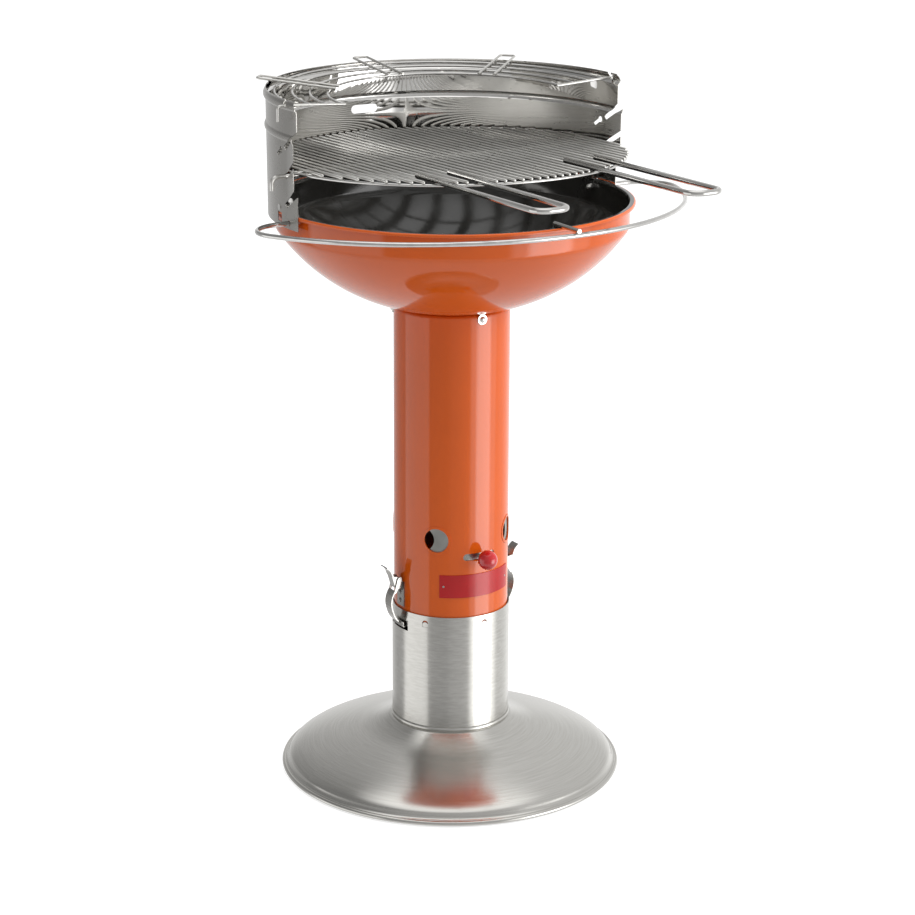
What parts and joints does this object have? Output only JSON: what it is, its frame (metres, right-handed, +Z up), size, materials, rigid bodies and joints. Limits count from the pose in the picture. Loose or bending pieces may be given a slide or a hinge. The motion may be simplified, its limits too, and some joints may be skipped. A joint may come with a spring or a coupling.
{
  "type": "charcoal grill",
  "caption": "Charcoal grill on a round column, with an ash pot, an enamelled bowl, a half-round windscreen, a lift-out grate and a warming rack.",
  "frame": {"origin": "on the floor under the column's axis", "axes": "+Z up, front with the red knob towards -Y, +X to the right as seen from the front"},
  "size_m": [0.6577, 0.7087, 0.9744],
  "materials": {
    "satin_steel": "satin stainless steel, brushed",
    "bright_steel": "bright stainless sheet",
    "zinc_steel": "zinc-plated steel",
    "chrome_wire": "chromed wire",
    "orange_enamel": "glossy orange enamel, black inside the bowl",
    "black_steel": "black enamelled wire",
    "red_plate": "red painted sheet",
    "red_knob": "glossy red plastic",
    "black_rubber": "black rubber sleeve"
  },
  "bodies": {
    "stand": {"base_dish": "satin_steel", "base_plate": "zinc_steel", "pot_collar": "satin_steel", "ash_pot": "satin_steel", "pot_screws": "zinc_steel", "pot_nuts": "zinc_steel", "column_tube": "orange_enamel", "nameplate": "red_plate", "nameplate_rivets": "red_plate", "neck_bolts": "chrome_wire", "neck_washers": "chrome_wire", "neck_spacers": "zinc_steel", "neck_nuts": "zinc_steel", "bowl": "orange_enamel", "windscreen": "bright_steel", "screen_brackets": "zinc_steel", "wing_bolts": "zinc_steel", "wing_nuts": "zinc_steel", "guard_ring": "chrome_wire", "guard_nuts": "zinc_steel", "guard_strut": "chrome_wire", "strut_tip": "black_rubber", "latch_bases": "zinc_steel", "latch_rivets": "zinc_steel", "latch_pivot_pins": "zinc_steel"},
    "air_control": {"air_sleeve": "zinc_steel", "air_stem": "zinc_steel", "air_nut": "zinc_steel", "air_knob": "red_knob"},
    "charcoal_grate": {"charcoal_rim": "black_steel", "charcoal_rods": "black_steel"},
    "cooking_grate": {"grate_rim": "chrome_wire", "grate_rods": "chrome_wire", "grate_bar": "chrome_wire", "grate_carrier": "chrome_wire", "grate_handle_left": "chrome_wire", "grate_handle_right": "chrome_wire"},
    "warming_rack": {"rack_arcs": "chrome_wire", "rack_end_bars": "chrome_wire", "rack_hangers": "chrome_wire"},
    "left_lever": {"latch_lever_left": "zinc_steel", "latch_hook_pin_left": "zinc_steel"},
    "right_lever": {"latch_lever_right": "zinc_steel", "latch_hook_pin_right": "zinc_steel"},
    "left_hook": {"latch_hook_left": "zinc_steel"},
    "right_hook": {"latch_hook_right": "zinc_steel"}
  },
  "joints": [
    {"name": "air_turn", "type": "hinge", "parent": "stand", "child": "air_control", "pos_m": [0, 0, 0.33], "axis": [0, 0, 1], "range_deg": [-15, 15]},
    {"name": "charcoal_grate_lift", "type": "slide", "parent": "stand", "child": "charcoal_grate", "axis": [0, 0, 1], "range_m": [0, 0.06]},
    {"name": "cooking_grate_slide", "type": "slide", "parent": "stand", "child": "cooking_grate", "axis": [0, -0.8387, 0.5446], "range_m": [0, 0.035]},
    {"name": "warming_rack_lift", "type": "slide", "parent": "stand", "child": "warming_rack", "axis": [0, 0, 1], "range_m": [0, 0.05]},
    {"name": "left_lever_swing", "type": "hinge", "parent": "stand", "child": "left_lever", "pos_m": [-0.088, 0, 0.279], "axis": [0, -1, 0], "range_deg": [0, 65]},
    {"name": "right_lever_swing", "type": "hinge", "parent": "stand", "child": "right_lever", "pos_m": [0.088, 0, 0.279], "axis": [0, 1, 0], "range_deg": [0, 65]},
    {"name": "left_hook_swing", "type": "hinge", "parent": "left_lever", "child": "left_hook", "pos_m": [-0.0865, 0, 0.288], "axis": [0, -1, 0], "range_deg": [-78, 0]},
    {"name": "right_hook_swing", "type": "hinge", "parent": "right_lever", "child": "right_hook", "pos_m": [0.0865, 0, 0.288], "axis": [0, 1, 0], "range_deg": [-78, 0]}
  ],
  "couplings": [
    {"joint": "left_hook_swing", "follows": "left_lever_swing", "ratio": -1.2},
    {"joint": "right_hook_swing", "follows": "right_lever_swing", "ratio": -1.2}
  ]
}
